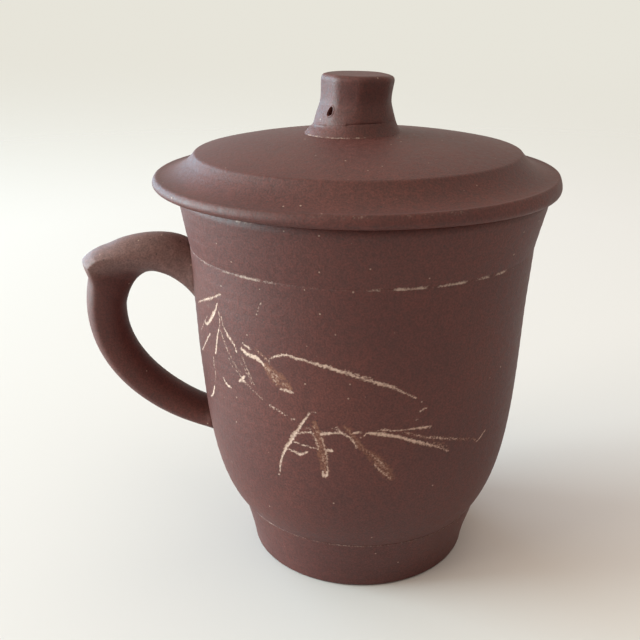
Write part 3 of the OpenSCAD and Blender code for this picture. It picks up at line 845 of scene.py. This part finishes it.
# Knob collar
# The skirt of clay that seats the knob on the dome. It was set a little off towards the handle, and
# a line of dried slip stayed round its foot.
collar_top = collar_high[2]
knob_base_r = 10.15
collar_foot_r = 12.2
collar_sink = 0.4
collar_under = dome_top - 0.6
knob_off = -1.05
knob_lean = 0.098
seam_dip = 0.85


def leaning(grid, angle):
    """Sets the knob's pieces as the hand left them: the further up the dome's axis, the more they
    lean towards +X from a foot set off towards the handle, and their seam dips on the handle's
    side."""
    grid[..., 0] += knob_off + knob_lean * (grid[..., 2] - dome_top)
    near_seam = mound(grid[..., 2], collar_top, 1.5)
    grid[..., 2] -= seam_dip * near_seam * np.clip(-np.cos(angle), 0, 1)
    return grid


def seam_press(line, angle):
    """How far the fingers pressed in the seam under the knob, to be taken from its points: in at
    the front, a little out towards the handle, and less with the height from the seam."""
    press = 0.16 * rubbed(angle, -12, 36) - 0.12 * rubbed(angle, -80, -46)
    near_seam = np.exp(-np.abs(line[:, 1:] - collar_top) / 0.25) * (line[:, :1] > 9)
    return (near_seam * press)[..., None] * outward(angle)


collar_line = outline(
    [
        straight((axis_gap, collar_under), (collar_foot_r, collar_under), 6),
        np.concatenate(([(collar_foot_r, collar_under)],
                        bend((collar_foot_r, dome_top - collar_sink), (11.6, dome_top + 0.3),
                             (10.65, collar_top - 1.3), (knob_base_r, collar_top), 30))),
        straight((knob_base_r, collar_top), (axis_gap, collar_top), 5),
    ],
    [0.1, 0.05],
    loop=False,
)
collar_angles = all_round(240)
collar_grid = leaning(turned(collar_line, collar_angles, lid_sway, lid_centre), collar_angles)
collar_grid -= seam_press(collar_line, collar_angles)
slip_line = np.maximum(rubbed(collar_angles, -75, 12), 0.5 * rubbed(collar_angles, 120, 170))
slip_line = slip_line * (0.1 + 0.4 * uneven(collar_angles, 70, 21))
dome_from_axis = np.hypot(collar_grid[..., 0] - lid_centre, collar_grid[..., 1])
dome_skin = dome_line[dome_line[:, 1] > dome_edge_z][::-1]
over_dome = collar_grid[..., 2] - np.interp(dome_from_axis, dome_skin[:, 0], dome_skin[:, 1])
at_foot = mound(over_dome, 0.12, 0.16)
collar = clay_piece("knob_collar", collar_grid, False, {"wear_and_highlight": at_foot * slip_line})
collar.data.materials.append(lid_clay)
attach(collar, "lid")
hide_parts("knob_collar")

# Knob
# A solid plug of clay, pinched between the fingers to a waist with soft flats, leaning a little,
# with a slanting vent hole that was pierced into its side with a point and left ragged.
knob_top = solid("knob")[1][2]
knob_waist_r = 9.0
knob_waist_z = collar_top + 5.5
knob_top_r = 9.34
knob_side = np.concatenate((
    bend((knob_base_r, collar_top), (9.75, collar_top + 1.7), (knob_waist_r, knob_waist_z - 2),
         (knob_waist_r, knob_waist_z), 44),
    bend((knob_waist_r, knob_waist_z), (knob_waist_r, knob_waist_z + 1.8),
         (knob_top_r - 0.04, knob_top - 2.4), (knob_top_r, knob_top), 34)[1:],
))
knob_line = outline(
    [
        straight((axis_gap, collar_top), (knob_base_r, collar_top), 5),
        knob_side,
        straight((knob_top_r, knob_top), (axis_gap, knob_top), 24),
    ],
    [0.05, 1.5],
    loop=False,
)
flat_edges = np.array((-150, -89, -38, 6, 50, 105, 160, 210))
flat_press = np.array((0.3, 0.95, 0.6, 0.5, 0.4, 0.25, 0.25))
flat_soft = 9


def finger_flats(angle, height):
    """How far the fingers pressed the knob out of round. Between two edges the circle is drawn
    towards their chord, whose radius is cos(half the span) / cos(turn from its middle), by that
    flat's share. The edges are softened over a few degrees, and the press fades at the base."""
    turn = (np.degrees(angle - FRONT) - flat_edges[0]) % 360 + flat_edges[0]
    flat = np.searchsorted(flat_edges, turn, "right") - 1
    middle = np.radians(flat_edges[flat] + flat_edges[flat + 1]) / 2
    half_span = np.radians(flat_edges[flat + 1] - flat_edges[flat]) / 2
    press = flat_press[flat] * (np.cos(half_span) / np.cos(np.radians(turn) - middle) - 1)
    press = np.mean([np.roll(press, step) for step in range(-flat_soft, flat_soft + 1)], 0)
    return cup_r * press * ramp(height, collar_top, 4)


knob_angles = all_round(360)
knob_grid = turned(knob_line, knob_angles, finger_flats, lid_centre)
knob_lift = ramp(knob_grid[..., 2], collar_top, knob_top - collar_top)
knob_across = knob_grid[..., 0] - lid_centre
top_drop = 0.25 + 0.028 * knob_across + 0.5 * ramp(knob_across, 4, 5)**2
knob_grid[..., 2] -= knob_lift**3 * top_drop
knob_grid -= seam_press(knob_line, knob_angles)
knob_grid = leaning(knob_grid, knob_angles)
vent_turn = FRONT - np.radians(43)
vent_z = collar_top + 2.7
vent_r = 0.78
vent_h = 0.95
vent_depth = 4.2
vent_edge = 0.22
burr_h = 0.14
side_r = 4
vent_slope = np.radians(28)
vent_skew = np.radians(-24)
vent_x = turn_from(vent_turn, knob_angles) * knob_line[:, :1]
vent_y = knob_line[:, 1:] - vent_z + 0 * knob_angles
vent_off = np.hypot((vent_x * np.cos(vent_skew) + vent_y * np.sin(vent_skew)) / vent_r,
                    (vent_y * np.cos(vent_skew) - vent_x * np.sin(vent_skew)) / vent_h)
vent_off = vent_off * (1 + 0.08 * np.sin(3 * np.arctan2(vent_y, vent_x)))
on_side = knob_line[:, :1, None] > side_r
vent_sink = np.clip((1 - vent_off) / vent_edge, 0, 1)[..., None] * on_side
vent_burr = burr_h * mound(vent_off, 1.25, 0.2)[..., None] * on_side
vent_way = -np.cos(vent_slope) * outward(vent_turn) - (0, 0, np.sin(vent_slope))
knob_grid += vent_depth * vent_sink * vent_way + vent_burr * outward(knob_angles)
knob = clay_piece("knob", knob_grid, False)
knob.data.materials.append(lid_clay)
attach(knob, "lid")
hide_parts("knob")

# Studio
# A pale floor the colour of cloth that fades into a pale room, two cool windows to the left and
# behind, a warmer lamp before them, and a camera where the photograph was taken from.
floor_cream = (0.725, 0.70, 0.695, 1)
floor_radius = 3000.0
floor_sides = 96
floor_drop = 0.05
# The floor fades with one over the distance in metres, from the first value to the second
fade_start, fade_end = 2.6, 0.4
floor_rim = floor_radius * outward(all_round(floor_sides)) - (0, 0, floor_drop)
floor_mesh = bpy.data.meshes.new("studio_floor")
floor_mesh.from_pydata((floor_rim * METRES).tolist(), [], [list(range(floor_sides))])
floor_piece = bpy.data.objects.new("studio_floor", floor_mesh)
bpy.context.scene.collection.objects.link(floor_piece)
cloth = bpy.data.materials.new("studio_cloth")
cloth.use_nodes = True
tree = cloth.node_tree
finish = tree.nodes["Principled BSDF"]
finish.inputs["Base Color"].default_value = floor_cream
finish.inputs["Roughness"].default_value = 0.9
finish.inputs["Specular IOR Level"].default_value = 0.1
place = wire(tree, "TexCoord", {}).outputs["Object"]
reach = wire(tree, "VectorMath", {0: place}, operation="LENGTH").outputs["Value"]
fade = spread(tree, worked(tree, "DIVIDE", 1.0, reach), fade_start, fade_end, 0, 1)
clear = wire(tree, "BsdfTransparent", {})
both = wire(tree, "MixShader", {0: fade, 1: finish.outputs[0], 2: clear.outputs[0]})
tree.links.new(both.outputs[0], tree.nodes["Material Output"].inputs["Surface"])
floor_piece.data.materials.append(cloth)

# The room glows softly from above, and shows a plain pale colour wherever it is seen
room_cream = (0.80, 0.78, 0.70, 1)
glow_cream = (1.56, 1.36, 1.155)
glow_fall = 2.0
world = bpy.data.worlds.new("studio_room")
bpy.context.scene.world = world
world.use_nodes = True
room = world.node_tree
way = wire(room, "TexCoord", {}).outputs["Generated"]
climb = wire(room, "VectorMath", {0: way, 1: (0, 0, 1)}, operation="DOT_PRODUCT").outputs["Value"]
share = worked(room, "POWER", worked(room, "MAXIMUM", climb, 0.0), glow_fall)
glow = wire(room, "VectorMath", {0: glow_cream, 3: share}, operation="SCALE").outputs[0]
ray = wire(room, "LightPath", {}).outputs
seen = worked(room, "MAXIMUM", ray["Is Camera Ray"], ray["Is Glossy Ray"])
seen = worked(room, "MAXIMUM", seen, ray["Is Transmission Ray"])
room.links.new(tinted(room, seen, glow, room_cream), room.nodes["Background"].inputs["Color"])

lamp_wide = 1.6


def lamp(name, place, tall, power, tint):
    """A wide soft light of a given height that faces the mug."""
    light = bpy.data.lights.new(name, "AREA")
    light.shape = "RECTANGLE"
    light.size = lamp_wide
    light.size_y = tall
    light.energy = power
    light.color = tint
    holder = bpy.data.objects.new(name, light)
    holder.location = place
    holder.rotation_euler = (-holder.location).to_track_quat("-Z", "Y").to_euler()
    bpy.context.scene.collection.objects.link(holder)


lamp("side_window", (-2.53, 0.22, 0.54), 1.0, 130.0, (0.69, 0.93, 1.0))
lamp("back_window", (-1.80, 1.80, 0.54), 1.0, 36.0, (0.48, 0.77, 1.0))
lamp("room_lamp", (-2.22, -0.72, 1.14), 1.6, 30.0, (1.0, 0.95, 0.78))

photo_eye = np.array((-10.67, -216.69, 145.45)) * METRES
photo_pitch = np.radians(20.654)
photo_roll = np.radians(0.427)
photo_lens = 48.375
camera = bpy.data.objects.new("camera", bpy.data.cameras.new("camera"))
camera.data.lens = photo_lens
camera.data.sensor_width = 36
camera.data.clip_start = 0.01
camera.matrix_world = (Matrix.Translation(photo_eye)
                       @ Matrix.Rotation(np.pi / 2 - photo_pitch, 4, "X")
                       @ Matrix.Rotation(-photo_roll, 4, "Z"))
bpy.context.scene.collection.objects.link(camera)
bpy.context.scene.camera = camera
bpy.context.scene.view_settings.view_transform = "Standard"
